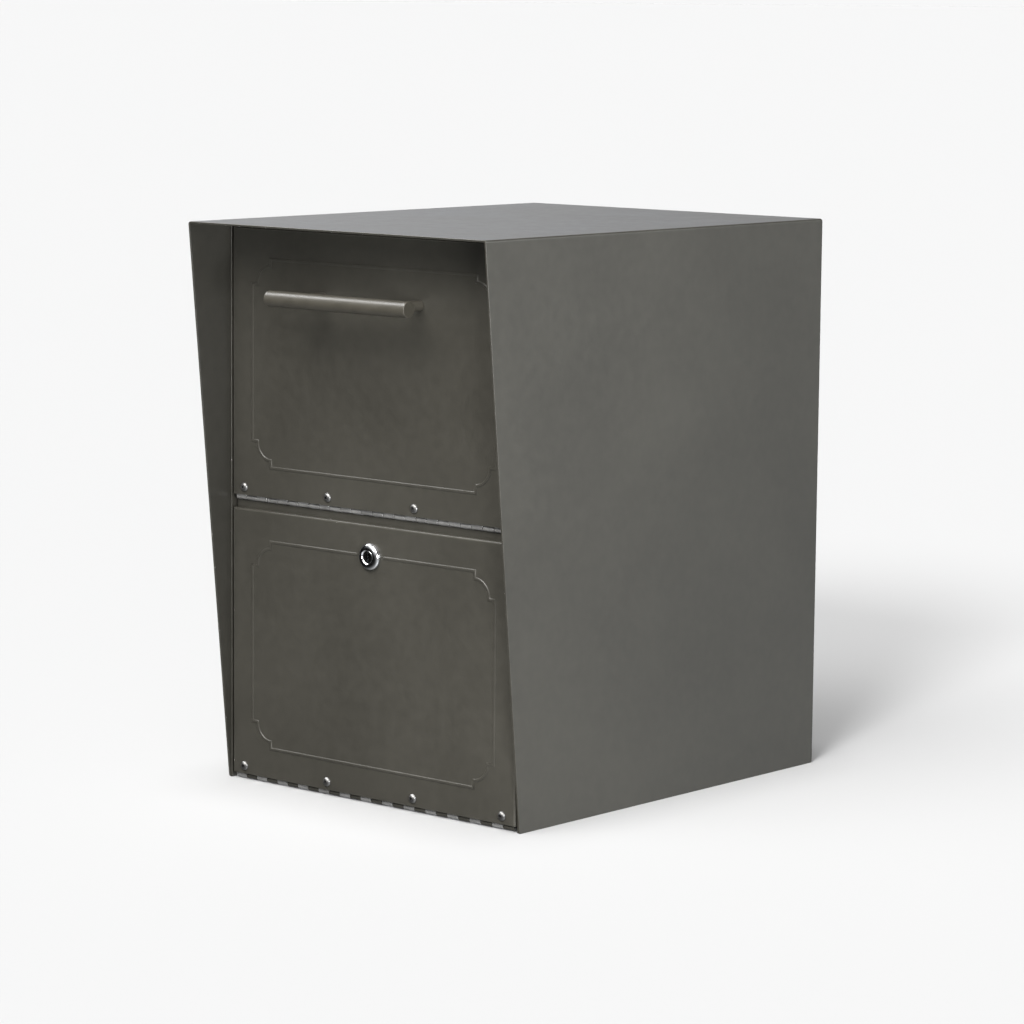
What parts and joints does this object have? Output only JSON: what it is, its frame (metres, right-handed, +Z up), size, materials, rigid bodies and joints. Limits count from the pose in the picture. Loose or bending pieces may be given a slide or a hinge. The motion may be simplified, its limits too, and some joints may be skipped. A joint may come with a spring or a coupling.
{
  "type": "locking parcel mailbox",
  "caption": "Sheet-steel drop-box mailbox with an overhanging hood, a pull-down hopper door above and a locked access door below, both on piano hinges",
  "frame": {"origin": "middle of the footprint, at the height of the surface that the box stands on", "axes": "+Z up, the doors face -Y, +X to the right seen from the front"},
  "size_m": [0.381, 0.508, 0.552],
  "materials": {
    "bronze_paint": "dark graphite-bronze powder coat with a fine grain and a soft gloss",
    "handle_bronze": "satin bronze coating, smoother than the cabinet",
    "zinc_steel": "zinc-plated steel",
    "chrome": "polished chrome",
    "rubber_stop": "matt black rubber"
  },
  "bodies": {
    "cabinet": {"back_panel": "bronze_paint", "cross_member": "bronze_paint", "floor_panel": "bronze_paint", "front_sill": "bronze_paint", "header_rail": "bronze_paint", "hinge_rivet_1": "zinc_steel", "hinge_rivet_2": "zinc_steel", "hinge_rivet_3": "zinc_steel", "hinge_rivet_4": "zinc_steel", "jamb_left": "bronze_paint", "jamb_right": "bronze_paint", "lower_bumper_left": "rubber_stop", "lower_bumper_right": "rubber_stop", "lower_hinge_frame_leaf": "zinc_steel", "lower_hinge_pin": "zinc_steel", "outer_wrap": "bronze_paint", "rear_baffle": "bronze_paint", "side_liner_left": "bronze_paint", "side_liner_right": "bronze_paint", "sill_screw_1": "zinc_steel", "sill_screw_2": "zinc_steel", "sill_screw_3": "zinc_steel", "sill_screw_4": "zinc_steel", "upper_bumper_left": "rubber_stop", "upper_bumper_right": "rubber_stop", "upper_hinge_frame_leaf": "zinc_steel", "upper_hinge_pin": "zinc_steel"},
    "upper_door": {"handle_bar": "handle_bronze", "handle_post_left": "handle_bronze", "handle_post_right": "handle_bronze", "handle_screw_left": "zinc_steel", "handle_screw_right": "zinc_steel", "hopper_cheek_left": "bronze_paint", "hopper_cheek_right": "bronze_paint", "hopper_tray": "bronze_paint", "upper_door_nut_1": "zinc_steel", "upper_door_nut_2": "zinc_steel", "upper_door_nut_3": "zinc_steel", "upper_door_nut_4": "zinc_steel", "upper_door_panel": "bronze_paint", "upper_door_screw_1": "zinc_steel", "upper_door_screw_2": "zinc_steel", "upper_door_screw_3": "zinc_steel", "upper_door_screw_4": "zinc_steel", "upper_hinge_door_leaf": "zinc_steel"},
    "lower_door": {"lock_housing": "chrome", "lock_nut": "zinc_steel", "lower_door_nut_1": "zinc_steel", "lower_door_nut_2": "zinc_steel", "lower_door_nut_3": "zinc_steel", "lower_door_nut_4": "zinc_steel", "lower_door_panel": "bronze_paint", "lower_door_screw_1": "zinc_steel", "lower_door_screw_2": "zinc_steel", "lower_door_screw_3": "zinc_steel", "lower_door_screw_4": "zinc_steel", "lower_hinge_door_leaf": "zinc_steel"},
    "lock": {"lock_plug": "chrome", "lock_cam": "zinc_steel", "cam_screw": "zinc_steel"}
  },
  "joints": [
    {"name": "upper_door_hinge", "type": "hinge", "parent": "cabinet", "child": "upper_door", "pos_m": [0, -0.1957, 0.2809], "axis": [1, 0, 0], "range_deg": [0, 60]},
    {"name": "lower_door_hinge", "type": "hinge", "parent": "cabinet", "child": "lower_door", "pos_m": [0, -0.1957, 0.0033], "axis": [1, 0, 0], "range_deg": [0, 65]},
    {"name": "lock_turn", "type": "hinge", "parent": "lower_door", "child": "lock", "pos_m": [0, -0.2, 0.24], "axis": [0, 1, 0], "range_deg": [0, 90]}
  ]
}
